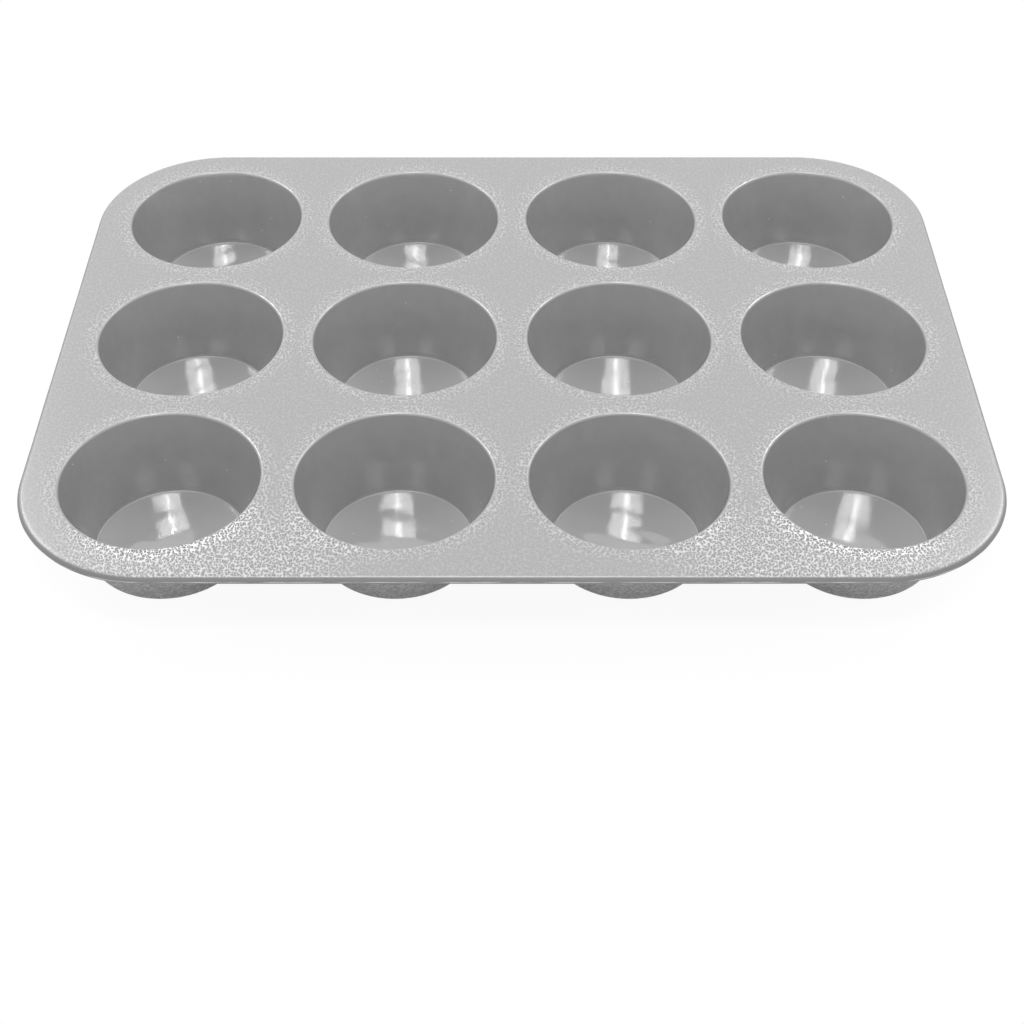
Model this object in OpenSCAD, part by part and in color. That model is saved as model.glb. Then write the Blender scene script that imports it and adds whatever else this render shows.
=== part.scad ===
// Muffin pan, one silicone moulding with twelve cups and a wire-stiffened rim.
// It stands on its cups: z = 0 is under them, x runs along the pan, the front is at -y.

/* [Cups] */
// Across a cup's mouth, where its wall would meet the top of the deck
mouth_d = 67.4; // [60:0.2:76]
// Across a cup's floor, inside, where the wall would meet it
floor_d = 52; // [44:0.2:58]
// Inside depth of a cup, from the top of the deck to its floor
cup_depth = 29.8; // [24:0.2:40]
// Thickness of a cup's wall, square to it
wall_t = 1.7; // [1.2:0.1:2.4]
// Thickness of a cup's floor
floor_t = 1.2; // [0.8:0.1:2]
// Rounding of the mouth's edge
lip_r = 1; // [0.5:0.1:1.8]
// Rounding inside a cup, between wall and floor
floor_fillet_r = 0.6; // [0.4:0.1:4]
// Rounding outside a cup, round its foot
foot_r = 3; // [1:0.1:4]
// Rounding under the deck, between it and a cup's wall
neck_r = 2; // [1:0.1:2.6]
// Flat of a cup's collar, from that rounding to the sheet
collar_flat = 0.3; // [0.1:0.1:0.6]

/* [Deck] */
// Thickness of the sheet between the cups
deck_t = 1.5; // [1:0.1:2.4]
// Land between the mouths of two cups side by side
land_x = 11.2; // [9:0.2:20]
// Land between the mouths of two rows
land_y = 10.1; // [9:0.1:20]
// Land between an outer mouth and the round of the rim
margin = 13.2; // [12:0.2:24]

/* [Rim] */
// How far the bead round the edge hangs below the sheet
bead_drop = 2.1; // [1.8:0.1:3.5]
// Width of the bead, from its inner wall to its nose
bead_w = 5; // [4.4:0.1:7]
// Rounding under the deck, between it and the bead
bead_fillet_r = 1; // [0.5:0.1:1.6]
// Rounding of the bead's lower inner edge
bead_edge_r = 0.6; // [0.3:0.1:1]
// How far the mould's parting line stands out of the nose
parting_proud = 0.2; // [0.1:0.05:0.4]
// Thickness of the parting line
parting_t = 0.3; // [0.2:0.05:0.5]

/* [Wire in the rim] */
// Thickness of the steel wire
wire_d = 2; // [1.4:0.1:2.2]
// Gap between the wire and the silicone moulded round it
wire_gap = 0.05; // [0.02:0.01:0.1]

/* [Hidden] */
columns = 4;
row_names = ["front", "middle", "back"];
rows = len(row_names);
// Straight steps along each rounding of an outline
arc_steps = 8;
// Overrun of every cut
cut = 1;
$fn = 96;

mouth_r = mouth_d / 2;
floor_r = floor_d / 2;
pitch_x = mouth_d + land_x;
pitch_y = mouth_d + land_y;
// Between the centres of the corner cups
span_x = (columns - 1) * pitch_x;
span_y = (rows - 1) * pitch_y;

deck_top = floor_t + cup_depth;
deck_under = deck_top - deck_t;

// The wall leans out by this much for each unit of height
lean = (mouth_r - floor_r) / cup_depth;
// Width of the wall in a level cut
wall_level = wall_t * sqrt(1 + lean * lean);
// Each cup's collar is let into a round hole in the sheet
neck_run = neck_r / tan((90 + atan(lean)) / 2);
collar_r = outside_r(deck_under) + neck_run + collar_flat;

// The bead's nose is a full round
bead_t = deck_t + bead_drop;
nose_x = mouth_r + margin;
nose_r = bead_t / 2;
nose_z = deck_top - nose_r;
bead_x = nose_x - bead_w;
bead_under = deck_top - bead_t;
// The deck ends where the rounding under the bead begins
deck_edge_x = bead_x - bead_fillet_r;
wire_x = nose_x - bead_w / 2;
wire_r = wire_d / 2;

silicone = "silver";
steel = "slategray";

cup_names = [for (row = row_names, column = [1:columns]) str("cup_", row, "_", column)];

// Radius of a cup at height z, inside and outside its wall
function inside_r(z) = floor_r + (z - floor_t) * lean;
function outside_r(z) = inside_r(z) + wall_level;

function unit(v) = v / norm(v);

// Points of the round that takes off the corner at p, on the way from a to b
function rounded(a, p, b, r) =
    let (
        to_a = unit(a - p),
        to_b = unit(b - p),
        half = acos(to_a * to_b) / 2,
        centre = p + unit(to_a + to_b) * r / sin(half),
        first = p + to_a * r / tan(half) - centre,
        last = p + to_b * r / tan(half) - centre,
        turn = 180 - 2 * half
    )
    [for (k = [0:arc_steps])
        centre + (first * sin(turn * (1 - k / arc_steps)) + last * sin(turn * k / arc_steps)) / sin(turn)];

// Points of an arc about a centre, from one angle to another
function arc(centre, r, from, to) =
    [for (k = [0:arc_steps])
        let (angle = from + (to - from) * k / arc_steps)
        centre + r * [cos(angle), sin(angle)]];

// Half the outline of a cup, from the axis out under its floor and back over its lip
function cup_outline() =
    let (
        foot = [outside_r(0), 0],
        neck = [outside_r(deck_under), deck_under],
        lip = [mouth_r, deck_top],
        floor_corner = [floor_r, floor_t]
    )
    concat(
        [[0, 0]],
        rounded([0, 0], foot, neck, foot_r),
        rounded(foot, neck, [collar_r, deck_under], neck_r),
        [[collar_r, deck_under], [collar_r, deck_top]],
        rounded([collar_r, deck_top], lip, floor_corner, lip_r),
        rounded(lip, floor_corner, [0, floor_t], floor_fillet_r),
        [[0, floor_t]]
    );

// Section of the bead, measured out from the middle of a corner cup
function bead_outline() =
    let (
        root = [bead_x, deck_under],
        edge = [bead_x, bead_under],
        nose = [nose_x - nose_r, nose_z],
        parting_angle = asin(parting_t / 2 / nose_r)
    )
    concat(
        [[deck_edge_x, deck_top]],
        rounded([deck_edge_x - bead_w, deck_under], root, edge, bead_fillet_r),
        rounded(root, edge, [nose.x, bead_under], bead_edge_r),
        arc(nose, nose_r, -90, -parting_angle),
        [[nose_x + parting_proud, nose_z - parting_t / 2], [nose_x + parting_proud, nose_z + parting_t / 2]],
        arc(nose, nose_r, parting_angle, 90)
    );

// Carries a section along a side of the pan that lies at the given turn
module along_side(length, reach, turn) {
    rotate([0, 0, turn])
        translate([reach, length / 2, 0])
            rotate([90, 0, 0])
                linear_extrude(height = length)
                    children();
}

// Carries a section round the pan: along its four sides and round its corners
module round_the_pan() {
    for (turn = [0, 180]) {
        along_side(span_y, span_x / 2, turn) children();
        along_side(span_x, span_y / 2, turn + 90) children();
    }
    for (side = [[1, 1, 0], [-1, 1, 90], [-1, -1, 180], [1, -1, 270]])
        translate([side.x * span_x / 2, side.y * span_y / 2, 0])
            rotate([0, 0, side.z])
                rotate_extrude(angle = 90)
                    children();
}

function column_x(column) = (column - 1) * pitch_x - span_x / 2;
function row_y(row) = row * pitch_y - span_y / 2;

// Flat sheet between the cups, with a round hole for each collar
module deck_sheet() {
    color(silicone)
        difference() {
            union() {
                translate([-span_x / 2, -span_y / 2, deck_under])
                    cube([span_x, span_y, deck_t]);
                round_the_pan()
                    translate([0, deck_under])
                        square([deck_edge_x, deck_t]);
            }
            for (column = [1:columns], row = [0:rows - 1])
                translate([column_x(column), row_y(row), deck_under - cut])
                    cylinder(r = collar_r, h = deck_t + 2 * cut);
        }
}

// Thick edge that stiffens the sheet, moulded round the wire
module rim_bead() {
    color(silicone)
        round_the_pan()
            difference() {
                polygon(bead_outline());
                translate([wire_x, nose_z])
                    circle(r = wire_r + wire_gap);
            }
}

// Closed loop of steel wire inside the bead
module rim_wire() {
    color(steel)
        round_the_pan()
            translate([wire_x, nose_z])
                circle(r = wire_r);
}

// One cup with its collar, in column 1 to 4 of a row
module cup(column, row) {
    color(silicone)
        translate([column_x(column), row_y(row), 0])
            rotate_extrude()
                polygon(cup_outline());
}

deck_sheet();
rim_bead();
rim_wire();
for (row = [0:rows - 1], column = [1:columns])
    cup(column, row);
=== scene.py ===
import math

import bmesh
import bpy
import numpy as np
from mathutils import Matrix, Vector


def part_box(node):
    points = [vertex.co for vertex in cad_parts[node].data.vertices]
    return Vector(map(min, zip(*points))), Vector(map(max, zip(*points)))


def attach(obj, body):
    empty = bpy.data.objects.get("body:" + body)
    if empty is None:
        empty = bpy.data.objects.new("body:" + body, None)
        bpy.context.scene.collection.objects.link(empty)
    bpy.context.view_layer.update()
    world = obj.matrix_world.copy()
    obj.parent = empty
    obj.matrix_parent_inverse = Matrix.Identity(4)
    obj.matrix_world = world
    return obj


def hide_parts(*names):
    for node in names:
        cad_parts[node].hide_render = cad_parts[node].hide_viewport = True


# Muffin pan of light grey silicone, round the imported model.
# Metres throughout; mm turns a size in millimetres into metres.
mm = 0.001

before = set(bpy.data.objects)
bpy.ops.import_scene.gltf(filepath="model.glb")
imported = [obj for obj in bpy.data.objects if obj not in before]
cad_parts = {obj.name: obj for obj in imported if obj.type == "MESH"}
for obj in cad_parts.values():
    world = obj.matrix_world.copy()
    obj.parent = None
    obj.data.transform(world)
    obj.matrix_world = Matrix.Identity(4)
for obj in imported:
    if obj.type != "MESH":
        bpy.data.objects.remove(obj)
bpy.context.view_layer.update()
print("frame loaded,", len(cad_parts), "nodes")


# What every silicone piece shares, read from the CAD nodes

def nodeBox(name):
    # lowest and highest corner of a CAD node
    lo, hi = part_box(name)
    return np.array(lo), np.array(hi)


rowNames = ("front", "middle", "back")
columnCount = 4
cupNames = [f"cup_{row}_{column}" for row in rowNames for column in range(1, columnCount + 1)]
cupCentres = {}
for cupName in cupNames:
    cupLo, cupHi = nodeBox(cupName)
    cupCentres[cupName] = (cupLo + cupHi)[:2] / 2

deckLo, deckHi = nodeBox("deck_sheet")
beadLo, beadHi = nodeBox("rim_bead")
firstLo, firstHi = nodeBox(cupNames[0])

pan = dict(
    deckTop=deckHi[2],
    deckUnder=deckLo[2],
    beadUnder=beadLo[2],
    collarRadius=(firstHi[0] - firstLo[0]) / 2,
    # corner cups, deck and bead turn their corners about the same four points
    spanX=cupCentres["cup_front_4"][0] - cupCentres["cup_front_1"][0],
    spanY=cupCentres["cup_back_1"][1] - cupCentres["cup_front_1"][1],
)
pan["pitchX"] = pan["spanX"] / (columnCount - 1)
pan["pitchY"] = pan["spanY"] / (len(rowNames) - 1)
pan["deckEdge"] = deckHi[0] - pan["spanX"] / 2
pan["beadReach"] = beadHi[0] - pan["spanX"] / 2
pan["halfLength"], pan["halfWidth"] = beadHi[0], beadHi[1]

roundSteps = 18     # steps in each half of a quarter turn, the same on every piece so that they meet


# Soft silicone isn't quite flat: broad waves in the sheet, and an edge that hangs a little

sheetWave = dict(
    depth=0.16 * mm,
    # for each wave its length, its height against the others, and its start along x and y
    waves=(
        (310 * mm, 1.0, 0.7, -0.4),
        (190 * mm, 0.6, -1.9, 0.8),
        (120 * mm, 0.4, 2.3, 1.1),
    ),
    edgeFrom=34 * mm,
    edgeDrop=0.25 * mm,
)


def sheetDip(x, y):
    # sum of crossed cosines, brought between 0 and -1 times the depth,
    # less a square law past the outer cups for the hanging edge
    s = sheetWave
    waves, most = 0, 0
    for length, height, startX, startY in s["waves"]:
        turn = 2 * math.pi / length
        waves = waves + height * np.cos(turn * x + startX) * np.cos(turn * y + startY)
        most += height
    pastX = np.maximum(np.abs(x) - pan["spanX"] / 2, 0)
    pastY = np.maximum(np.abs(y) - pan["spanY"] / 2, 0)
    past = np.clip((np.hypot(pastX, pastY) - s["edgeFrom"]) / (pan["beadReach"] - s["edgeFrom"]), 0, 1)
    return -s["depth"] * (most - waves) / (2 * most) - s["edgeDrop"] * past ** 2


# The mould's grain is sharp round the mouths and calm between them; in an oval on each side of the pan's
# front its ridges are painted bright as a highlight

grainReach = dict(
    sharp=1 * mm,
    calm=8 * mm,
    sharpShare=0.31,
    calmShare=0.09,
    highlightOvalPlace=(97 * mm, -114 * mm),
    highlightOvalSize=(46 * mm, 23 * mm),
    # shares of the oval where its painted highlight is full and where it ends
    highlightFull=0.5,
    highlightGone=4 / 3,
    # how much weaker the painted highlight is on the calm land away from the mouths
    calmHighlightSpared=0.55,
)


def smoothStep(share):
    # cubic that climbs from 0 to 1 and is level at both ends
    share = np.clip(share, 0, 1)
    return share * share * (3 - 2 * share)


def grainStrength(x, y):
    # smooth step down with the distance from the nearest mouth's edge,
    # raised to full strength in an oval on each side of the front, which paints a highlight there
    g = grainReach
    nearest = np.full(np.broadcast(x, y).shape, np.inf)
    for centre in cupCentres.values():
        nearest = np.minimum(nearest, np.hypot(x - centre[0], y - centre[1]) - cupShape["mouthRadius"])
    away = smoothStep((nearest - g["sharp"]) / (g["calm"] - g["sharp"]))
    strength = g["sharpShare"] + (g["calmShare"] - g["sharpShare"]) * away
    # the oval where the ridges are painted bright as a highlight
    ovalX = (np.abs(x) - g["highlightOvalPlace"][0]) / g["highlightOvalSize"][0]
    ovalY = (y - g["highlightOvalPlace"][1]) / g["highlightOvalSize"][1]
    ovalHighlight = smoothStep((g["highlightGone"] - np.hypot(ovalX, ovalY)) / (g["highlightGone"] - g["highlightFull"]))
    ovalHighlight = ovalHighlight * (1 - g["calmHighlightSpared"] * away)
    return strength + (1 - strength) * ovalHighlight


# Mesh helpers

def gridFaces(rowCount, columnTotal, wrapRows=False):
    # quads of a grid whose columns close on themselves
    rowIndex = np.arange(rowCount if wrapRows else rowCount - 1)[:, None]
    columnIndex = np.arange(columnTotal)[None, :]
    nextRow = (rowIndex + 1) % rowCount
    nextColumn = (columnIndex + 1) % columnTotal
    corners = (
        rowIndex * columnTotal + columnIndex,
        rowIndex * columnTotal + nextColumn,
        nextRow * columnTotal + nextColumn,
        nextRow * columnTotal + columnIndex,
    )
    return np.stack(corners, axis=-1).reshape(-1, 4)


def markJoints(mesh):
    # edges of the flat faces are sharp, so that light runs over a joint between two pieces unbroken
    cornerEdges = np.empty(len(mesh.loops), np.int32)
    mesh.loops.foreach_get("edge_index", cornerEdges)
    cornerCounts = np.empty(len(mesh.polygons), np.int32)
    mesh.polygons.foreach_get("loop_total", cornerCounts)
    smooth = np.empty(len(mesh.polygons), bool)
    mesh.polygons.foreach_get("use_smooth", smooth)
    sharp = np.zeros(len(mesh.edges), bool)
    sharp[cornerEdges[np.repeat(~smooth, cornerCounts)]] = True
    mesh.edges.foreach_set("use_edge_sharp", sharp)


def makePiece(name, points, faces, flat, shares):
    # flat marks faces that meet a neighbouring piece, so that shading doesn't run over the joint;
    # shares holds what the materials read at each point
    mesh = bpy.data.meshes.new(name)
    mesh.from_pydata(points.tolist(), [], [list(face) for face in faces])
    mesh.polygons.foreach_set("use_smooth", np.logical_not(flat))
    for layerName, values in shares.items():
        layer = mesh.attributes.new(layerName, "FLOAT", "POINT")
        layer.data.foreach_set("value", np.ascontiguousarray(values.reshape(-1), dtype=np.float32))
    markJoints(mesh)
    mesh.update()
    piece = bpy.data.objects.new(name, mesh)
    bpy.context.scene.collection.objects.link(piece)
    return piece


def arcPoints(centre, radius, first, last, steps):
    # points on a circle from one angle to another, in degrees
    angles = np.radians(np.linspace(first, last, steps + 1))
    return np.stack([centre[0] + radius * np.cos(angles), centre[1] + radius * np.sin(angles)], axis=1)


def roundedCorner(before, corner, after, radius, steps):
    # points of the arc that takes off a corner: the two tangent points, swept about the arc's centre
    before, corner, after = (np.asarray(p, float) for p in (before, corner, after))
    toBefore = (before - corner) / np.linalg.norm(before - corner)
    toAfter = (after - corner) / np.linalg.norm(after - corner)
    half = math.acos(np.clip(toBefore @ toAfter, -1, 1)) / 2
    middle = (toBefore + toAfter) / np.linalg.norm(toBefore + toAfter)
    centre = corner + middle * radius / math.sin(half)
    start = corner + toBefore * radius / math.tan(half) - centre
    end = corner + toAfter * radius / math.tan(half) - centre
    turn = math.pi - 2 * half
    share = np.linspace(0, 1, steps + 1)[:, None]
    return centre + (start * np.sin(turn * (1 - share)) + end * np.sin(turn * share)) / math.sin(turn)


def straight(first, last, steps):
    # points between two ends, without the ends
    share = np.linspace(0, 1, steps + 1)[1:-1, None]
    return np.asarray(first) * (1 - share) + np.asarray(last) * share


# Each cup sits in a cell of the deck; the cell's outline is where it meets its neighbours

def cellReach(column, row):
    # half sizes of a cell to the east, north, west and south
    halfX, halfY, edge = pan["pitchX"] / 2, pan["pitchY"] / 2, pan["deckEdge"]
    east = edge if column == columnCount else halfX
    west = edge if column == 1 else halfX
    north = edge if row == len(rowNames) - 1 else halfY
    south = edge if row == 0 else halfY
    return east, north, west, south


leastSine = 1e-9     # spares a division by zero at angles that don't use the sine


def cellOutline(column, row):
    # angles round a cup, with the cell's distance at each, and whether the step after it is the deck's edge
    east, north, west, south = cellReach(column, row)
    edge = pan["deckEdge"]
    angles, reach, atEdge = [], [], []
    quarters = ((east, north, 0), (north, west, 1), (west, south, 2), (south, east, 3))
    for first, second, quarter in quarters:
        start = quarter * math.pi / 2
        roundCorner = first == edge and second == edge
        split = math.pi / 4 if roundCorner else math.atan2(second, first)
        part = np.concatenate([
            np.linspace(0, split, roundSteps + 1)[:-1],
            np.linspace(split, math.pi / 2, roundSteps + 1)[:-1],
        ])
        if roundCorner:
            distance = np.full(part.shape, edge)
        else:
            sine = np.maximum(np.sin(part), leastSine)
            distance = np.where(part < split, first / np.cos(part), second / sine)
        angles.append(start + part)
        reach.append(distance)
        firstHalf = np.arange(part.size) < roundSteps
        atEdge.append(np.where(firstHalf, first == edge, second == edge))
    return np.concatenate(angles), np.concatenate(reach), np.concatenate(atEdge)


finishes = dict(grained=0, pebbled=1, polished=2)     # order of the materials on each piece


# Cups

cupShape = dict(
    mouthRadius=33.7 * mm,
    floorRadius=26 * mm,
    floorThickness=1.2 * mm,
    wallThickness=1.7 * mm,
    lipRound=1 * mm,
    floorRound=0.6 * mm,
    footRound=3 * mm,
    neckRound=2 * mm,
    # how far the polished inside strays from true, which bends what it reflects
    floorSwell=0.14 * mm,
    wallSwell=0.06 * mm,
    # share of the floor's circle that the wall's swell is read on, so that it is longer round than up
    wallWinding=0.6,
    # pebbles stand out less on the rounds and underneath
    roundPebble=0.5,
    # the core was buffed most on its end, and could hardly be reached in the corner round it
    wallGloss=0.85,
    cornerGloss=0.12,
    # from the corner's round to where the floor's polish is full
    polishEdge=0.2 * mm,
    # the cores were buffed to and fro along the pan, so the walls shine less at the left and right,
    # from one cosine of the angle to the other
    sideDulling=0.15,
    sideFrom=0.5,
    sideTo=0.85,
    # point by point over the lip: it starts grained, has a pale line near its top, painted as a highlight,
    # and ends polished
    lipGrain=(0.9, 0.5, 0.2, 0, 0, 0, 0, 0, 0),
    lipSeamHighlight=(0.1, 0.9, 1, 0.5, 0.1, 0, 0, 0, 0),
    # the painted highlight line is broken, and plainest at the back of the mouth;
    # the turn is added to the angle's sine, so it is still plain a little in front of the middle
    lipHighlightLeast=0.25,
    lipHighlightFront=0.1,
    lipHighlightTurn=0.35,
)

cupSteps = dict(under=7, foot=7, outside=14, neck=7, collar=5, inside=22, corner=7, floor=22)

# seeds of a cup's walls and of its painted highlight line stand this far above its floor's
wallSeed, lipHighlightSeed = 100, 200

cupLayers = ("grain", "pebble", "seamHighlight", "gloss")     # what the materials read


def cupProfile():
    # half outline from the axis under the floor, up outside, over the lip and down to the floor's middle,
    # with the shares of each finish and swell at each point
    s, steps = cupShape, cupSteps
    depth = pan["deckTop"] - s["floorThickness"]
    lean = (s["mouthRadius"] - s["floorRadius"]) / depth
    wallLevel = s["wallThickness"] * math.hypot(1, lean)

    def outside(z):
        # radius of the wall's outer face at a height
        return s["floorRadius"] + (z - s["floorThickness"]) * lean + wallLevel

    foot = (outside(0), 0)
    neck = (outside(pan["deckUnder"]), pan["deckUnder"])
    collarLow = (pan["collarRadius"], pan["deckUnder"])
    collarHigh = (pan["collarRadius"], pan["deckTop"])
    lip = (s["mouthRadius"], pan["deckTop"])
    floorCorner = (s["floorRadius"], s["floorThickness"])
    underMiddle, floorMiddle = (0, 0), (0, s["floorThickness"])

    footArc = roundedCorner(underMiddle, foot, neck, s["footRound"], steps["foot"])
    neckArc = roundedCorner(foot, neck, collarLow, s["neckRound"], steps["neck"])
    lipArc = roundedCorner(collarHigh, lip, floorCorner, s["lipRound"], len(s["lipGrain"]) - 1)
    floorArc = roundedCorner(lip, floorCorner, floorMiddle, s["floorRound"], steps["corner"])
    floorEdge = floorArc[-1] - (s["polishEdge"], 0)
    lipGloss = np.append(np.zeros(len(lipArc) - 1), s["wallGloss"])
    stretches = (
        (straight(underMiddle, footArc[0], steps["under"]), dict(pebble=s["roundPebble"])),
        (footArc, dict(pebble=s["roundPebble"])),
        (straight(footArc[-1], neckArc[0], steps["outside"]), dict(pebble=1)),
        (neckArc, dict(pebble=s["roundPebble"])),
        (np.array([collarLow, collarHigh]), dict(grain=1)),
        (straight(collarHigh, lipArc[0], steps["collar"]), dict(grain=1)),
        (lipArc, dict(grain=s["lipGrain"], seamHighlight=s["lipSeamHighlight"], gloss=lipGloss)),
        (straight(lipArc[-1], floorArc[0], steps["inside"]), dict(gloss=s["wallGloss"], wallSwell=1)),
        (floorArc, dict(gloss=s["cornerGloss"])),
        (np.array([floorEdge]), dict(gloss=1, floorSwell=1)),
        (straight(floorEdge, floorMiddle, steps["floor"]), dict(gloss=1, floorSwell=1)),
    )
    points = np.concatenate([part for part, _ in stretches])
    shares = {}
    for name in (*cupLayers, "wallSwell", "floorSwell"):
        shares[name] = np.concatenate([
            np.broadcast_to(np.asarray(share.get(name, 0), float), len(part)) for part, share in stretches
        ])
    return points, shares


swellWaves = dict(count=7, shortest=8 * mm, longest=22 * mm, highest=4)


def smoothSwell(u, v, seed):
    # sum of sine waves in seeded directions, which seldom pass their highest, so between about -1 and 1
    w = swellWaves
    source = np.random.default_rng(seed)
    total = np.zeros(np.broadcast(u, v).shape)
    for _ in range(w["count"]):
        turn, phase = source.uniform(0, 2 * math.pi, 2)
        length = source.uniform(w["shortest"], w["longest"])
        total += np.sin(2 * math.pi * (u * math.cos(turn) + v * math.sin(turn)) / length + phase)
    return total / w["highest"]


def cupRings(centre, angles, profile, shares, seed):
    # the profile turned about the cup's axis: the floor's height strays by a swell that fades to its rim,
    # the wall's radius by one that fades to its top and foot, and the sheet's dip grows with the square
    # of the height
    s = cupShape
    radius = np.repeat(profile[:, :1], angles.size, axis=1)
    height = np.repeat(profile[:, 1:], angles.size, axis=1)
    fade = np.clip(1 - (radius / s["floorRadius"]) ** 4, 0, 1)
    floorWaves = smoothSwell(radius * np.cos(angles), radius * np.sin(angles), seed)
    height = height + shares["floorSwell"][:, None] * fade * s["floorSwell"] * floorWaves
    rise = (height - s["floorThickness"]) / (pan["deckTop"] - s["floorThickness"])
    hump = np.clip(4 * rise * (1 - rise), 0, 1)
    winding = s["wallWinding"] * s["floorRadius"]
    alongX = winding * np.cos(angles) + height
    alongY = winding * np.sin(angles) + height / 2
    wallWaves = smoothSwell(alongX, alongY, seed + wallSeed)
    radius = radius + shares["wallSwell"][:, None] * hump * s["wallSwell"] * wallWaves
    x = centre[0] + radius * np.cos(angles)
    y = centre[1] + radius * np.sin(angles)
    z = height + sheetDip(x, y) * np.clip(height / pan["deckTop"], 0, 1) ** 2
    return x, y, z


def cupPoles(centre, seed):
    # the middles of the underside and of the floor, moved as the rings are
    s = cupShape
    floorLevel = s["floorThickness"] + s["floorSwell"] * smoothSwell(0.0, 0.0, seed)
    floorLevel += sheetDip(centre[0], centre[1]) * (s["floorThickness"] / pan["deckTop"]) ** 2
    return np.array([[centre[0], centre[1], 0], [centre[0], centre[1], floorLevel]])


def cupSpread(x, y, angles, shares, seed):
    # each layer's share at every point: the profile's, times what changes round the cup
    s = cupShape
    spread = {layer: np.repeat(shares[layer][:, None], angles.size, axis=1) for layer in cupLayers}
    spread["grain"] = spread["grain"] * grainStrength(x, y)
    # the lip's pale line is a painted highlight, broken at random and plainest at the back
    broken = np.random.default_rng(seed + lipHighlightSeed).uniform(s["lipHighlightLeast"], 1, angles.size)
    plain = s["lipHighlightFront"] + (1 - s["lipHighlightFront"]) * smoothStep(s["lipHighlightTurn"] + np.sin(angles))
    spread["seamHighlight"] = spread["seamHighlight"] * broken * plain
    side = smoothStep((np.abs(np.cos(angles)) - s["sideFrom"]) / (s["sideTo"] - s["sideFrom"]))
    spread["gloss"] = spread["gloss"] * (1 - s["sideDulling"] * side * shares["wallSwell"][:, None])
    # the poles take the shares of the first and the last ring
    return {layer: np.append(values, values[[0, -1], 0]) for layer, values in spread.items()}


def makeCup(name, column, row):
    # rings of points at the cell's own angles, closed by a fan underneath and one on the floor
    profile, shares = cupProfile()
    centre = cupCentres[name]
    angles, _, _ = cellOutline(column, row)
    seed = row * columnCount + column
    x, y, z = cupRings(centre, angles, profile, shares, seed)
    rings = np.stack([x, y, z], axis=-1).reshape(-1, 3)
    points = np.concatenate([rings, cupPoles(centre, seed)])

    around = np.arange(angles.size)
    following = (around + 1) % angles.size
    lowPole, highPole = len(rings), len(rings) + 1
    lastRing = len(rings) - angles.size
    underFan = np.stack([np.full_like(around, lowPole), following, around], axis=1)
    floorFan = np.stack([lastRing + around, lastRing + following, np.full_like(around, highPole)], axis=1)
    quads = gridFaces(len(profile), angles.size)
    faces = quads.tolist() + underFan.tolist() + floorFan.tolist()
    # the collar's side is the strip that meets the deck
    collar = np.argmax((profile[:, 0] == pan["collarRadius"]) & (profile[:, 1] == pan["deckUnder"]))
    flat = np.zeros(len(faces), bool)
    flat[collar * angles.size:(collar + 1) * angles.size] = True
    spread = cupSpread(x, y, angles, shares, seed)
    piece = makePiece(name + "_skin", points, faces, flat, spread)

    # strips are pebbled up to the collar, and polished where both their ends have gloss; the fans come last
    glossy = np.minimum(shares["gloss"][:-1], shares["gloss"][1:]) > 0
    finish = np.where(glossy, finishes["polished"], finishes["grained"])
    finish[:collar] = finishes["pebbled"]
    finish = np.append(finish, (finishes["pebbled"], finishes["polished"]))
    piece.data.polygons.foreach_set("material_index", np.repeat(finish, angles.size).astype(np.int32))
    return piece


# Deck

deckShape = dict(steps=7, weld=0.002 * mm)     # points nearer than the weld become one


def makeDeck():
    # in each cell a fan of straight lines from the cup's collar to the cell's outline, above and below;
    # the cells are welded where they meet
    allPoints, allFaces, allFlat = [], [], []
    offset = 0
    for row in range(len(rowNames)):
        for column in range(1, columnCount + 1):
            centre = cupCentres[f"cup_{rowNames[row]}_{column}"]
            angles, reach, atEdge = cellOutline(column, row)
            share = np.linspace(0, 1, deckShape["steps"] + 1)[:, None]
            radius = pan["collarRadius"] + (reach - pan["collarRadius"]) * share
            x = centre[0] + radius * np.cos(angles)
            y = centre[1] + radius * np.sin(angles)
            dip = sheetDip(x, y)
            top = np.stack([x, y, pan["deckTop"] + dip], axis=-1).reshape(-1, 3)
            under = np.stack([x, y, pan["deckUnder"] + dip], axis=-1).reshape(-1, 3)
            count = len(top)
            quads = gridFaces(len(share), angles.size)
            around = np.arange(angles.size)
            following = (around + 1) % angles.size
            outer = count - angles.size
            hole = np.stack([around, following, following + count, around + count], axis=1)
            here, onward = outer + around, outer + following
            rim = np.stack([onward, here, here + count, onward + count], axis=1)
            parts = (quads[:, ::-1], quads + count, hole[:, ::-1], rim[atEdge][:, ::-1])
            allPoints += [top, under]
            for index, part in enumerate(parts):
                allFaces.append(part + offset)
                allFlat.append(np.full(len(part), index > 1))
            offset += 2 * count
    points, faces, flat = (np.concatenate(arrays) for arrays in (allPoints, allFaces, allFlat))
    grain = grainStrength(points[:, 0], points[:, 1])
    piece = makePiece("deck_sheet_skin", points, faces, flat, dict(grain=grain))
    sheet = bmesh.new()
    sheet.from_mesh(piece.data)
    bmesh.ops.remove_doubles(sheet, verts=sheet.verts, dist=deckShape["weld"])
    sheet.to_mesh(piece.data)
    sheet.free()
    markJoints(piece.data)
    return piece


# Rim

rimShape = dict(
    beadWidth=5 * mm,
    rootRound=1 * mm,
    edgeRound=0.6 * mm,
    partingProud=0.2 * mm,
    partingThickness=0.3 * mm,
    # the parting line's height and how pale its flash is painted, as a highlight: a middle share,
    # then each wave's height, length and start
    partingWaves=(0.85, (0.1, 43 * mm, 0), (0.05, 17.1 * mm, 1.3)),
    flashHighlightWaves=(0.55, (0.35, 29 * mm, 0), (0.3, 11.3 * mm, 2)),
    # the bead is smooth up to a share of its height, blended over another share of it
    smoothShare=0.92,
    smoothBlend=0.14,
)

rimSteps = dict(root=5, edge=5, under=4, nose=10, top=5, long=80, short=56)


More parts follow.
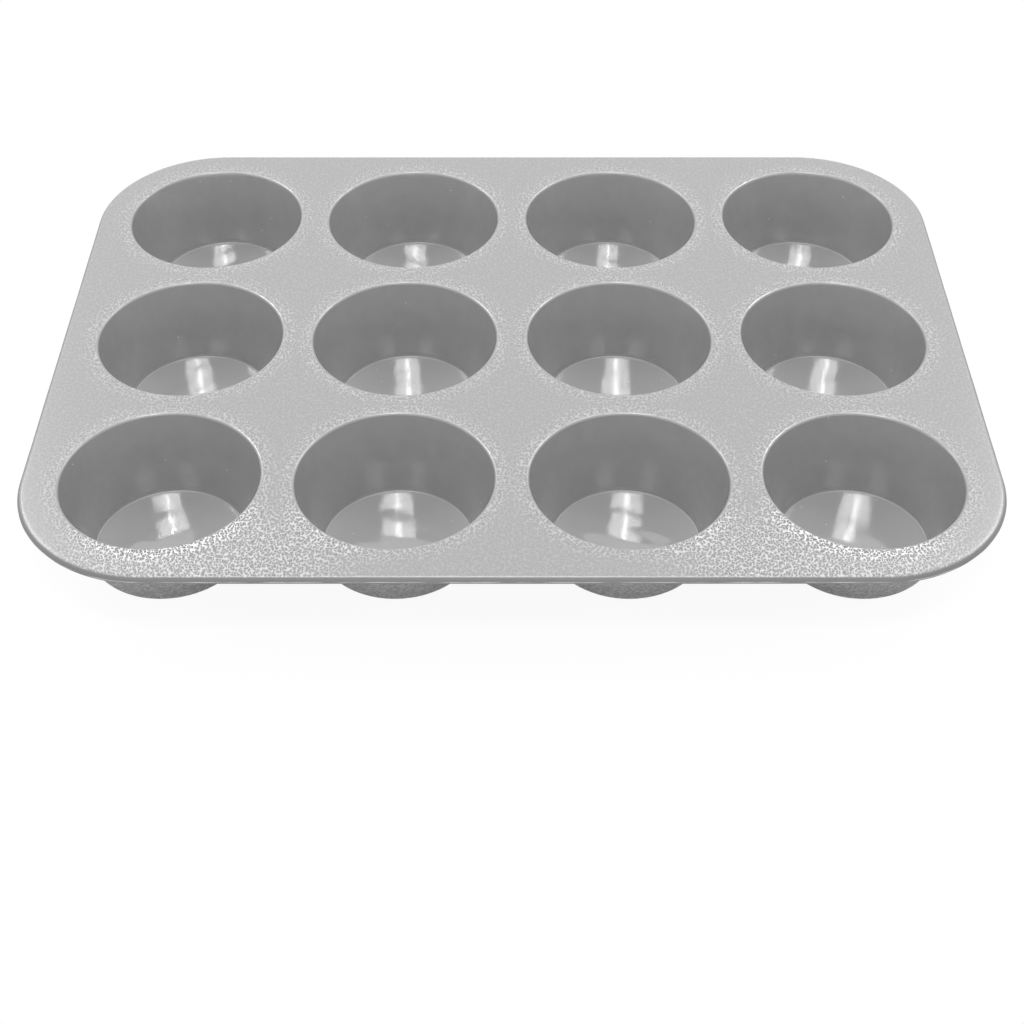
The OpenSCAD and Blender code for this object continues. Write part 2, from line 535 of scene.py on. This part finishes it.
def rimSection():
    # section of the bead, outwards from a corner cup's axis, with a share of the parting line at each point
    r, steps = rimShape, rimSteps
    noseX = pan["beadReach"] - r["partingProud"]
    noseRadius = (pan["deckTop"] - pan["beadUnder"]) / 2
    noseZ = pan["deckTop"] - noseRadius
    innerX = noseX - r["beadWidth"]
    halfParting = math.degrees(math.asin(r["partingThickness"] / 2 / noseRadius))
    deckLow = (pan["deckEdge"], pan["deckUnder"])
    deckHigh = (pan["deckEdge"], pan["deckTop"])
    root = (innerX, pan["deckUnder"])
    edge = (innerX, pan["beadUnder"])
    nose = (noseX - noseRadius, noseZ)
    under = (nose[0], pan["beadUnder"])
    rootArc = roundedCorner(deckLow, root, edge, r["rootRound"], steps["root"])
    edgeArc = roundedCorner(root, edge, under, r["edgeRound"], steps["edge"])
    lowArc = arcPoints(nose, noseRadius, -90, -halfParting, steps["nose"])
    highArc = arcPoints(nose, noseRadius, halfParting, 90, steps["nose"])
    crest = r["partingThickness"] / 4     # half of the parting line's top, half as thick as its foot
    ridge = np.array([[noseX, noseZ - crest], [noseX, noseZ + crest]])
    parts = (
        np.array([deckHigh]),
        rootArc,
        edgeArc,
        straight(edgeArc[-1], under, steps["under"]),
        lowArc,
        ridge,
        highArc,
        straight(highArc[-1], deckHigh, steps["top"]),
    )
    ridgeShare = np.concatenate([np.full(len(part), float(part is ridge)) for part in parts])
    return np.concatenate(parts), ridgeShare


def rimPath():
    # centre and outward angle along the pan's outline: sides and quarter turns in turn, anticlockwise
    halfX, halfY = pan["spanX"] / 2, pan["spanY"] / 2
    sides = (
        ((halfX, -halfY), (halfX, halfY), 0, rimSteps["short"]),
        ((halfX, halfY), (-halfX, halfY), 90, rimSteps["long"]),
        ((-halfX, halfY), (-halfX, -halfY), 180, rimSteps["short"]),
        ((-halfX, -halfY), (halfX, -halfY), 270, rimSteps["long"]),
    )
    centres, angles = [], []
    for first, last, turn, steps in sides:
        share = np.linspace(0, 1, steps + 1)[:-1, None]
        centres.append(np.asarray(first) * (1 - share) + np.asarray(last) * share)
        angles.append(np.full(steps, float(turn)))
        turns = 2 * roundSteps
        centres.append(np.repeat([last], turns, axis=0))
        angles.append(turn + np.linspace(0, 90, turns + 1)[:-1])
    return np.concatenate(centres), np.radians(np.concatenate(angles))


def waver(along, middle, *waves):
    # a middle value plus sine waves of the way along the rim
    total = middle
    for height, length, start in waves:
        total = total + height * np.sin(2 * math.pi * along / length + start)
    return total


def makeRim():
    # the section carried along the path; the parting line stands out by an uneven amount
    section, ridgeShare = rimSection()
    centres, angles = rimPath()
    steps = np.hypot(*np.diff(centres, axis=0, append=centres[:1]).T)
    steps = steps + np.abs(np.diff(angles, append=2 * math.pi)) * pan["beadReach"]
    along = np.cumsum(steps)
    uneven = waver(along, *rimShape["partingWaves"])
    reach = section[:, :1] + ridgeShare[:, None] * rimShape["partingProud"] * uneven
    x = centres[:, 0] + reach * np.cos(angles)
    y = centres[:, 1] + reach * np.sin(angles)
    z = section[:, 1:] + sheetDip(x, y)
    points = np.stack([x, y, z], axis=-1).reshape(-1, 3)
    faces = gridFaces(len(section), angles.size, wrapRows=True)
    # the first strip meets the deck's edge
    flat = np.zeros(len(faces), bool)
    flat[:angles.size] = True
    # all but the top of the bead is smooth, and painted darker as shade
    rise = (section[:, 1] - pan["beadUnder"]) / (pan["deckTop"] - pan["beadUnder"])
    smooth = 1 - smoothStep((rise - rimShape["smoothShare"]) / rimShape["smoothBlend"] + 0.5)
    smooth = np.repeat(smooth[:, None], angles.size, axis=1)
    grain = grainStrength(x, y) * (1 - smooth)
    # the parting line was trimmed by hand, so its flash, painted pale as a highlight, comes and goes
    flash = smoothStep(waver(along, *rimShape["flashHighlightWaves"]))
    shares = dict(grain=grain, smooth=smooth, seamHighlight=ridgeShare[:, None] * flash)
    return makePiece("rim_bead_skin", points, faces, flat, shares)


# Materials

def linearColour(hexText):
    # sRGB hex to the linear colour that the shaders take
    parts = [int(hexText[i:i + 2], 16) / 255 for i in (1, 3, 5)]
    return tuple(p / 12.92 if p <= 0.04045 else ((p + 0.055) / 1.055) ** 2.4 for p in parts) + (1.0,)


def addNode(tree, kind, settings=None, inputs=None):
    # adds a node, sets its properties, and gives each named input a value or a link
    node = tree.nodes.new(kind)
    for name, value in (settings or {}).items():
        setattr(node, name, value)
    for name, value in (inputs or {}).items():
        if isinstance(value, bpy.types.NodeSocket):
            tree.links.new(value, node.inputs[name])
        else:
            node.inputs[name].default_value = value
    return node


def newMaterial(name):
    # a material with its node tree still empty
    material = bpy.data.materials.new(name)
    material.use_nodes = True
    material.node_tree.nodes.clear()
    return material, material.node_tree


silicone = dict(
    # grained: the deck, the bead and the collars
    colour="#9c9c9c",
    # the bead's smooth nose is painted darker, as shade
    noseShadeColour="#747474",
    # the grain's ridges are painted near white as highlight, its pits dark as shade
    ridgeHighlightColour="#f8f8f8",
    pitShadeColour="#646464",
    # the parting lines of the bead and the lips are painted pale, as highlights
    seamHighlightColour="#c8c8c8",
    grainPitch=0.82 * mm,
    grainDepth=0.08 * mm,
    grainIor=1.45,
    pitMiddle=0.12,
    pitEdge=0.8,
    pitScatter=0.85,
    pitDrift=1.3 * mm,
    driftPitch=1.64 * mm,
    pitLength=1.3,
    pitRoughness=0.3,
    ridgeRoughness=0.2,
    flashRoughness=0.12,
    # pebbled: outside the cups
    pebbleTopLitColour="#a8a8a8",
    gapShadeColour="#8e8e8e",
    pebblePitch=1.2 * mm,
    pebbleDepth=0.3 * mm,
    pebbleLength=1.6,
    pebbleFoot=0.32,
    pebbleTop=0.68,
    pebbleRoughness=0.36,
    pebbleIor=1.41,
    # satin on both: the real one has about a tenth of this pitch, and is drawn as coarse as it needs to show
    satinPitch=0.5 * mm,
    satinDepth=0.012 * mm,
    # polished: inside the cups
    polishColour="#969696",
    rubColour="#8e8e8e",
    # the corner round each floor is painted darker, as shade
    cornerShadeColour="#8e8e8e",
    scrapedColour="#9e9e9e",
    lintColour="#cdcdcd",
    rubPitch=4 * mm,
    rubDepth=0.01 * mm,
    rubFrom=0.35,
    rubTo=0.75,
    rubDulling=0.12,
    lintPitch=7 * mm,
    lintSize=0.16 * mm,
    glossRoughness=0.06,
    polishIor=1.7,
    # where a finish is dullest
    dullRoughness=0.5,
)


def satinNormal(tree, place):
    # a very fine satin all over the rubber that wasn't polished
    s = silicone
    satin = addNode(tree, "ShaderNodeTexNoise", {}, {
        "Vector": place,
        "Scale": 1 / s["satinPitch"],
        "Detail": 2.0,
    })
    fine = addNode(tree, "ShaderNodeBump", {}, {
        "Strength": 1.0,
        "Distance": s["satinDepth"],
        "Height": satin.outputs["Fac"],
    })
    return fine.outputs["Normal"]


def grainedSilicone():
    # platinum-cured silicone rubber from spark-eroded mould steel: fine pits and ridges that break up
    # the light; the grain attribute is their strength
    s = silicone
    material, tree = newMaterial("grainedSilicone")
    place = addNode(tree, "ShaderNodeTexCoord").outputs["Object"]
    grain = addNode(tree, "ShaderNodeAttribute", {"attribute_name": "grain"}).outputs["Fac"]
    smooth = addNode(tree, "ShaderNodeAttribute", {"attribute_name": "smooth"}).outputs["Fac"]
    seamHighlight = addNode(tree, "ShaderNodeAttribute", {"attribute_name": "seamHighlight"}).outputs["Fac"]
    # pits in the middles of random cells, drawn out by a slow drift, with a net of ridges between them
    drift = addNode(tree, "ShaderNodeTexNoise", {}, {
        "Vector": place,
        "Scale": 1 / s["driftPitch"],
        "Detail": 0.0,
    })
    stray = addNode(tree, "ShaderNodeVectorMath", {"operation": "SCALE"}, {
        0: drift.outputs["Color"],
        "Scale": s["pitDrift"],
    })
    placed = addNode(tree, "ShaderNodeVectorMath", {"operation": "ADD"}, {0: place, 1: stray.outputs[0]})
    cells = addNode(tree, "ShaderNodeMapping", {}, {
        "Vector": placed.outputs[0],
        "Scale": (1, 1 / s["pitLength"], 1),
    })
    pits = addNode(tree, "ShaderNodeTexVoronoi", {"feature": "F1", "voronoi_dimensions": "2D"}, {
        "Vector": cells.outputs[0],
        "Scale": 1 / s["grainPitch"],
        "Randomness": s["pitScatter"],
    })
    raised = addNode(tree, "ShaderNodeMapRange", {"interpolation_type": "SMOOTHSTEP"}, {
        "Value": pits.outputs["Distance"],
        "From Min": s["pitMiddle"],
        "From Max": s["pitEdge"],
    })
    height = addNode(tree, "ShaderNodeMath", {"operation": "MULTIPLY"}, {
        0: raised.outputs["Result"],
        1: grain,
    })
    bump = addNode(tree, "ShaderNodeBump", {}, {
        "Strength": 1.0,
        "Distance": s["grainDepth"],
        "Height": height.outputs[0],
        "Normal": satinNormal(tree, place),
    })
    # ridges are painted lighter as highlight and pits darker as shade, as strongly as the grain stands out,
    # and the trimmed flash is painted paler still, as a highlight
    tone = addNode(tree, "ShaderNodeMix", {"data_type": "RGBA"}, {
        "Factor": raised.outputs["Result"],
        6: linearColour(s["pitShadeColour"]),
        7: linearColour(s["ridgeHighlightColour"]),
    })
    # the smooth nose is painted darker as shade
    plain = addNode(tree, "ShaderNodeMix", {"data_type": "RGBA"}, {
        "Factor": smooth,
        6: linearColour(s["colour"]),
        7: linearColour(s["noseShadeColour"]),
    })
    grained = addNode(tree, "ShaderNodeMix", {"data_type": "RGBA"}, {
        "Factor": grain,
        6: plain.outputs[2],
        7: tone.outputs[2],
    })
    # the pale lines on the bead's parting line and on the lips are painted highlights
    colour = addNode(tree, "ShaderNodeMix", {"data_type": "RGBA"}, {
        "Factor": seamHighlight,
        6: grained.outputs[2],
        7: linearColour(s["seamHighlightColour"]),
    })
    # ridges shine a little more than pits, the smooth nose is dull and the flash is the glossiest
    grainedRoughness = addNode(tree, "ShaderNodeMapRange", {}, {
        "Value": height.outputs[0],
        "To Min": s["pitRoughness"],
        "To Max": s["ridgeRoughness"],
    })
    noseRoughness = addNode(tree, "ShaderNodeMapRange", {}, {
        "Value": smooth,
        "To Min": grainedRoughness.outputs["Result"],
        "To Max": s["dullRoughness"],
    })
    roughness = addNode(tree, "ShaderNodeMapRange", {}, {
        "Value": seamHighlight,
        "To Min": noseRoughness.outputs["Result"],
        "To Max": s["flashRoughness"],
    })
    shader = addNode(tree, "ShaderNodeBsdfPrincipled", {}, {
        "Base Color": colour.outputs[2],
        "Roughness": roughness.outputs["Result"],
        "IOR": s["grainIor"],
        "Specular IOR Level": 1.0,
        "Normal": bump.outputs["Normal"],
    })
    addNode(tree, "ShaderNodeOutputMaterial", {}, {"Surface": shader.outputs[0]})
    return material


def pebbledSilicone():
    # the same rubber from etched mould steel, outside the cups: close soft pebbles, longer round the cup
    # than up it, their tops painted paler as highlight and the gaps darker as shade; the pebble attribute
    # is how far they stand out
    s = silicone
    material, tree = newMaterial("pebbledSilicone")
    place = addNode(tree, "ShaderNodeTexCoord").outputs["Object"]
    pebble = addNode(tree, "ShaderNodeAttribute", {"attribute_name": "pebble"}).outputs["Fac"]
    drawn = addNode(tree, "ShaderNodeMapping", {}, {"Vector": place, "Scale": (1, 1, s["pebbleLength"])})
    stones = addNode(tree, "ShaderNodeTexNoise", {}, {
        "Vector": drawn.outputs[0],
        "Scale": 1 / s["pebblePitch"],
        "Detail": 1.0,
    })
    domes = addNode(tree, "ShaderNodeMapRange", {"interpolation_type": "SMOOTHSTEP"}, {
        "Value": stones.outputs["Fac"],
        "From Min": s["pebbleFoot"],
        "From Max": s["pebbleTop"],
    })
    height = addNode(tree, "ShaderNodeMath", {"operation": "MULTIPLY"}, {
        0: domes.outputs["Result"],
        1: pebble,
    })
    bump = addNode(tree, "ShaderNodeBump", {}, {
        "Strength": 1.0,
        "Distance": s["pebbleDepth"],
        "Height": height.outputs[0],
        "Normal": satinNormal(tree, place),
    })
    # pebble tops are painted paler as highlight, the gaps between them darker as shade
    colour = addNode(tree, "ShaderNodeMix", {"data_type": "RGBA"}, {
        "Factor": domes.outputs["Result"],
        6: linearColour(s["gapShadeColour"]),
        7: linearColour(s["pebbleTopLitColour"]),
    })
    roughness = addNode(tree, "ShaderNodeMapRange", {}, {
        "Value": height.outputs[0],
        "To Min": s["dullRoughness"],
        "To Max": s["pebbleRoughness"],
    })
    shader = addNode(tree, "ShaderNodeBsdfPrincipled", {}, {
        "Base Color": colour.outputs[2],
        "Roughness": roughness.outputs["Result"],
        "IOR": s["pebbleIor"],
        "Normal": bump.outputs["Normal"],
    })
    addNode(tree, "ShaderNodeOutputMaterial", {}, {"Surface": shader.outputs[0]})
    return material


def polishedSilicone():
    # the same rubber off polished cores: a glossy skin with slow, barely seen waves
    s = silicone
    material, tree = newMaterial("polishedSilicone")
    place = addNode(tree, "ShaderNodeTexCoord").outputs["Object"]
    gloss = addNode(tree, "ShaderNodeAttribute", {"attribute_name": "gloss"}).outputs["Fac"]
    # rubbed patches take a little of the gloss, and stir the colour by a shade
    rubs = addNode(tree, "ShaderNodeTexNoise", {}, {
        "Vector": place,
        "Scale": 1 / s["rubPitch"],
        "Detail": 4.0,
    })
    rubbed = addNode(tree, "ShaderNodeMapRange", {}, {
        "Value": rubs.outputs["Fac"],
        "From Min": s["rubFrom"],
        "From Max": s["rubTo"],
        "To Min": 0.0,
        "To Max": s["rubDulling"],
    })
    shine = addNode(tree, "ShaderNodeMath", {"operation": "SUBTRACT"}, {
        0: gloss,
        1: rubbed.outputs["Result"],
    })
    roughness = addNode(tree, "ShaderNodeMapRange", {}, {
        "Value": shine.outputs[0],
        "To Min": s["dullRoughness"],
        "To Max": s["glossRoughness"],
    })
    # specks of lint cling to silicone, and fade out over their own size
    lint = addNode(tree, "ShaderNodeTexVoronoi", {"feature": "F1"}, {
        "Vector": place,
        "Scale": 1 / s["lintPitch"],
    })
    specks = addNode(tree, "ShaderNodeMapRange", {"interpolation_type": "SMOOTHSTEP"}, {
        "Value": lint.outputs["Distance"],
        "From Min": s["lintSize"] / s["lintPitch"],
        "From Max": 2 * s["lintSize"] / s["lintPitch"],
        "To Min": 1.0,
        "To Max": 0.0,
    })
    tone = addNode(tree, "ShaderNodeMix", {"data_type": "RGBA"}, {
        "Factor": rubs.outputs["Fac"],
        6: linearColour(s["rubColour"]),
        7: linearColour(s["polishColour"]),
    })
    # the tight corner round the floor, where gloss is least, is painted darker as shade
    dullestWall = cupShape["wallGloss"] * (1 - cupShape["sideDulling"])
    outsideCornerShade = addNode(tree, "ShaderNodeMapRange", {"interpolation_type": "SMOOTHSTEP"}, {
        "Value": gloss,
        "From Min": cupShape["cornerGloss"],
        "From Max": dullestWall,
    })
    cornerShaded = addNode(tree, "ShaderNodeMix", {"data_type": "RGBA"}, {
        "Factor": outsideCornerShade.outputs["Result"],
        6: linearColour(s["cornerShadeColour"]),
        7: tone.outputs[2],
    })
    # and the floor, glossiest of all, is a shade paler from scraping and washing
    scraped = addNode(tree, "ShaderNodeMapRange", {"interpolation_type": "SMOOTHSTEP"}, {
        "Value": gloss,
        "From Min": cupShape["wallGloss"],
        "From Max": 1.0,
    })
    washed = addNode(tree, "ShaderNodeMix", {"data_type": "RGBA"}, {
        "Factor": scraped.outputs["Result"],
        6: cornerShaded.outputs[2],
        7: linearColour(s["scrapedColour"]),
    })
    colour = addNode(tree, "ShaderNodeMix", {"data_type": "RGBA"}, {
        "Factor": specks.outputs["Result"],
        6: washed.outputs[2],
        7: linearColour(s["lintColour"]),
    })
    bump = addNode(tree, "ShaderNodeBump", {}, {
        "Strength": 1.0,
        "Distance": s["rubDepth"],
        "Height": rubs.outputs["Fac"],
    })
    shader = addNode(tree, "ShaderNodeBsdfPrincipled", {}, {
        "Base Color": colour.outputs[2],
        "Roughness": roughness.outputs["Result"],
        "IOR": s["polishIor"],
        "Specular IOR Level": 1.0,
        "Normal": bump.outputs["Normal"],
    })
    addNode(tree, "ShaderNodeOutputMaterial", {}, {"Surface": shader.outputs[0]})
    return material


steel = dict(
    colour="#b9bbbd",
    # coarser than the marks of a real die, so that they would show
    drawPitch=0.25 * mm,
    drawDepth=0.01 * mm,
    drawStrength=0.4,
    brightRoughness=0.22,
    dullRoughness=0.42,
)


def drawnSteel():
    # hard-drawn stainless wire: an uneven satin from the die, hidden inside the rim
    material, tree = newMaterial("drawnSteel")
    place = addNode(tree, "ShaderNodeTexCoord").outputs["Object"]
    satin = addNode(tree, "ShaderNodeTexNoise", {}, {
        "Vector": place,
        "Scale": 1 / steel["drawPitch"],
        "Detail": 4.0,
    })
    roughness = addNode(tree, "ShaderNodeMapRange", {}, {
        "Value": satin.outputs["Fac"],
        "To Min": steel["brightRoughness"],
        "To Max": steel["dullRoughness"],
    })
    bump = addNode(tree, "ShaderNodeBump", {}, {
        "Strength": steel["drawStrength"],
        "Distance": steel["drawDepth"],
        "Height": satin.outputs["Fac"],
    })
    shader = addNode(tree, "ShaderNodeBsdfPrincipled", {}, {
        "Base Color": linearColour(steel["colour"]),
        "Metallic": 1.0,
        "Roughness": roughness.outputs["Result"],
        "Normal": bump.outputs["Normal"],
    })
    addNode(tree, "ShaderNodeOutputMaterial", {}, {"Surface": shader.outputs[0]})
    return material


# Building the pan

# in the order of finishes
siliconeFinishes = (grainedSilicone(), pebbledSilicone(), polishedSilicone())
print(len(siliconeFinishes), "silicone finishes made")


def dress(piece, node):
    # gives a piece its finishes and has it stand for its CAD node
    for finish in siliconeFinishes:
        piece.data.materials.append(finish)
    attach(piece, "root")
    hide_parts(node)


dress(makeDeck(), "deck_sheet")
dress(makeRim(), "rim_bead")
for rowIndex, rowName in enumerate(rowNames):
    for columnIndex in range(1, columnCount + 1):
        cupName = f"cup_{rowName}_{columnIndex}"
        dress(makeCup(cupName, columnIndex, rowIndex), cupName)
print("deck, rim and", len(cupNames), "cups made")

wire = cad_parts["rim_wire"]
wire.data.materials.clear()
wire.data.materials.append(drawnSteel())


# Stage: pale floor, white surroundings, soft lights

stage = dict(
    floorSize=12.0,
    floorGap=0.2 * mm,
    floorColour="#ffffff",
    bounceColour="#ececec",
    # the share of plain white in the seen floor by the pan, the rest of it shaded,
    # and how far out it is all white, in half sizes of the pan
    seenLight=0.93,
    whiteFrom=1.45,
    worldLevel=0.4,
)


def seenRays(tree):
    # 1 for rays from the camera, off a gloss or through something clear, otherwise 0
    path = addNode(tree, "ShaderNodeLightPath")
    direct = addNode(tree, "ShaderNodeMath", {"operation": "MAXIMUM"}, {
        0: path.outputs["Is Camera Ray"],
        1: path.outputs["Is Glossy Ray"],
    })
    seen = addNode(tree, "ShaderNodeMath", {"operation": "MAXIMUM"}, {
        0: direct.outputs[0],
        1: path.outputs["Is Transmission Ray"],
    })
    return seen.outputs[0]


def paleFloor():
    half, level = stage["floorSize"] / 2, -stage["floorGap"]
    corners = [(-half, -half, level), (half, -half, level), (half, half, level), (-half, half, level)]
    mesh = bpy.data.meshes.new("floor")
    mesh.from_pydata(corners, [], [(0, 1, 2, 3)])
    floor = bpy.data.objects.new("floor", mesh)
    bpy.context.scene.collection.objects.link(floor)
    material, tree = newMaterial("paleFloor")
    # the camera and reflections see it near white; what it throws back on the pan is greyer
    seen = seenRays(tree)
    colour = addNode(tree, "ShaderNodeMix", {"data_type": "RGBA"}, {
        "Factor": seen,
        6: linearColour(stage["bounceColour"]),
        7: linearColour(stage["floorColour"]),
    })
    matt = addNode(tree, "ShaderNodeBsdfDiffuse", {}, {"Color": colour.outputs[2]})
    white = addNode(tree, "ShaderNodeEmission", {}, {"Strength": 1.0})
    # pure white from a little way off, so that it meets the white world without a horizon
    place = addNode(tree, "ShaderNodeTexCoord").outputs["Object"]
    scaled = addNode(tree, "ShaderNodeVectorMath", {"operation": "MULTIPLY"}, {
        0: place,
        1: (1 / pan["halfLength"], 1 / pan["halfWidth"], 0),
    })
    away = addNode(tree, "ShaderNodeVectorMath", {"operation": "LENGTH"}, {0: scaled.outputs[0]})
    light = addNode(tree, "ShaderNodeMapRange", {"interpolation_type": "SMOOTHSTEP"}, {
        "Value": away.outputs["Value"],
        "From Min": 1.0,
        "From Max": stage["whiteFrom"],
        "To Min": stage["seenLight"],
        "To Max": 1.0,
    })
    share = addNode(tree, "ShaderNodeMath", {"operation": "MULTIPLY"}, {
        0: seen,
        1: light.outputs["Result"],
    })
    shader = addNode(tree, "ShaderNodeMixShader", {}, {
        0: share.outputs[0],
        1: matt.outputs[0],
        2: white.outputs[0],
    })
    addNode(tree, "ShaderNodeOutputMaterial", {}, {"Surface": shader.outputs[0]})
    mesh.materials.append(material)


def whiteWorld():
    world = bpy.data.worlds.new("studio")
    bpy.context.scene.world = world
    world.use_nodes = True
    tree = world.node_tree
    tree.nodes.clear()
    # white where it is seen, and dimmer as a source of light
    level = addNode(tree, "ShaderNodeMapRange", {}, {
        "Value": seenRays(tree),
        "To Min": stage["worldLevel"],
        "To Max": 1.0,
    })
    background = addNode(tree, "ShaderNodeBackground", {}, {
        "Color": (1, 1, 1, 1),
        "Strength": level.outputs["Result"],
    })
    addNode(tree, "ShaderNodeOutputWorld", {}, {"Surface": background.outputs[0]})


lamps = dict(
    # degrees round from straight behind, degrees up, distance, width, depth, watts
    overhead=(180, 68.5, 2.65, 1.0, 0.52, 24.0),
    tube=(180, 69, 2.6, 0.03, 0.5, 9.0),
    behindLeft=(58, 41, 1.36, 0.75, 0.42, 6.5),
    behindRight=(-58, 41, 1.36, 0.75, 0.42, 6.5),
    frontFill=(180, 12, 1.6, 1.2, 0.4, 3.4),
)


def areaLamp(name, around, up, distance, width, depth, watts):
    # on a sphere about the middle of the deck, turned towards it
    data = bpy.data.lights.new(name, "AREA")
    data.shape = "RECTANGLE"
    data.size, data.size_y = width, depth
    data.energy = watts
    lamp = bpy.data.objects.new(name, data)
    bpy.context.scene.collection.objects.link(lamp)
    lamp.visible_camera = False
    around, up = math.radians(around), math.radians(up)
    out, rise = distance * math.cos(up), distance * math.sin(up)
    lamp.location = (-out * math.sin(around), out * math.cos(around), pan["deckTop"] + rise)
    lamp.rotation_euler = (math.pi / 2 - up, 0, math.pi + around)


paleFloor()
whiteWorld()
for lampName, facts in lamps.items():
    areaLamp(lampName, *facts)
print("stage and lamps set")


# Camera, solved from the mouths, floors and outline in the photograph

view = dict(
    # metres in front of the middle and above the deck, and degrees down from level
    back=0.5094,
    above=0.3897,
    pitchDown=43.19,
    focalPixels=1738.3,
    imagePixels=1024,
    # the sensor's width in the camera's own millimetres
    sensor=36.0,
)

cameraData = bpy.data.cameras.new("camera")
cameraData.sensor_width = view["sensor"]
cameraData.lens = view["focalPixels"] / view["imagePixels"] * view["sensor"]
camera = bpy.data.objects.new("camera", cameraData)
bpy.context.scene.collection.objects.link(camera)
camera.location = (0, -view["back"], pan["deckTop"] + view["above"])
camera.rotation_euler = (math.radians(90 - view["pitchDown"]), 0, 0)
bpy.context.scene.camera = camera
bpy.context.scene.view_settings.view_transform = "Standard"
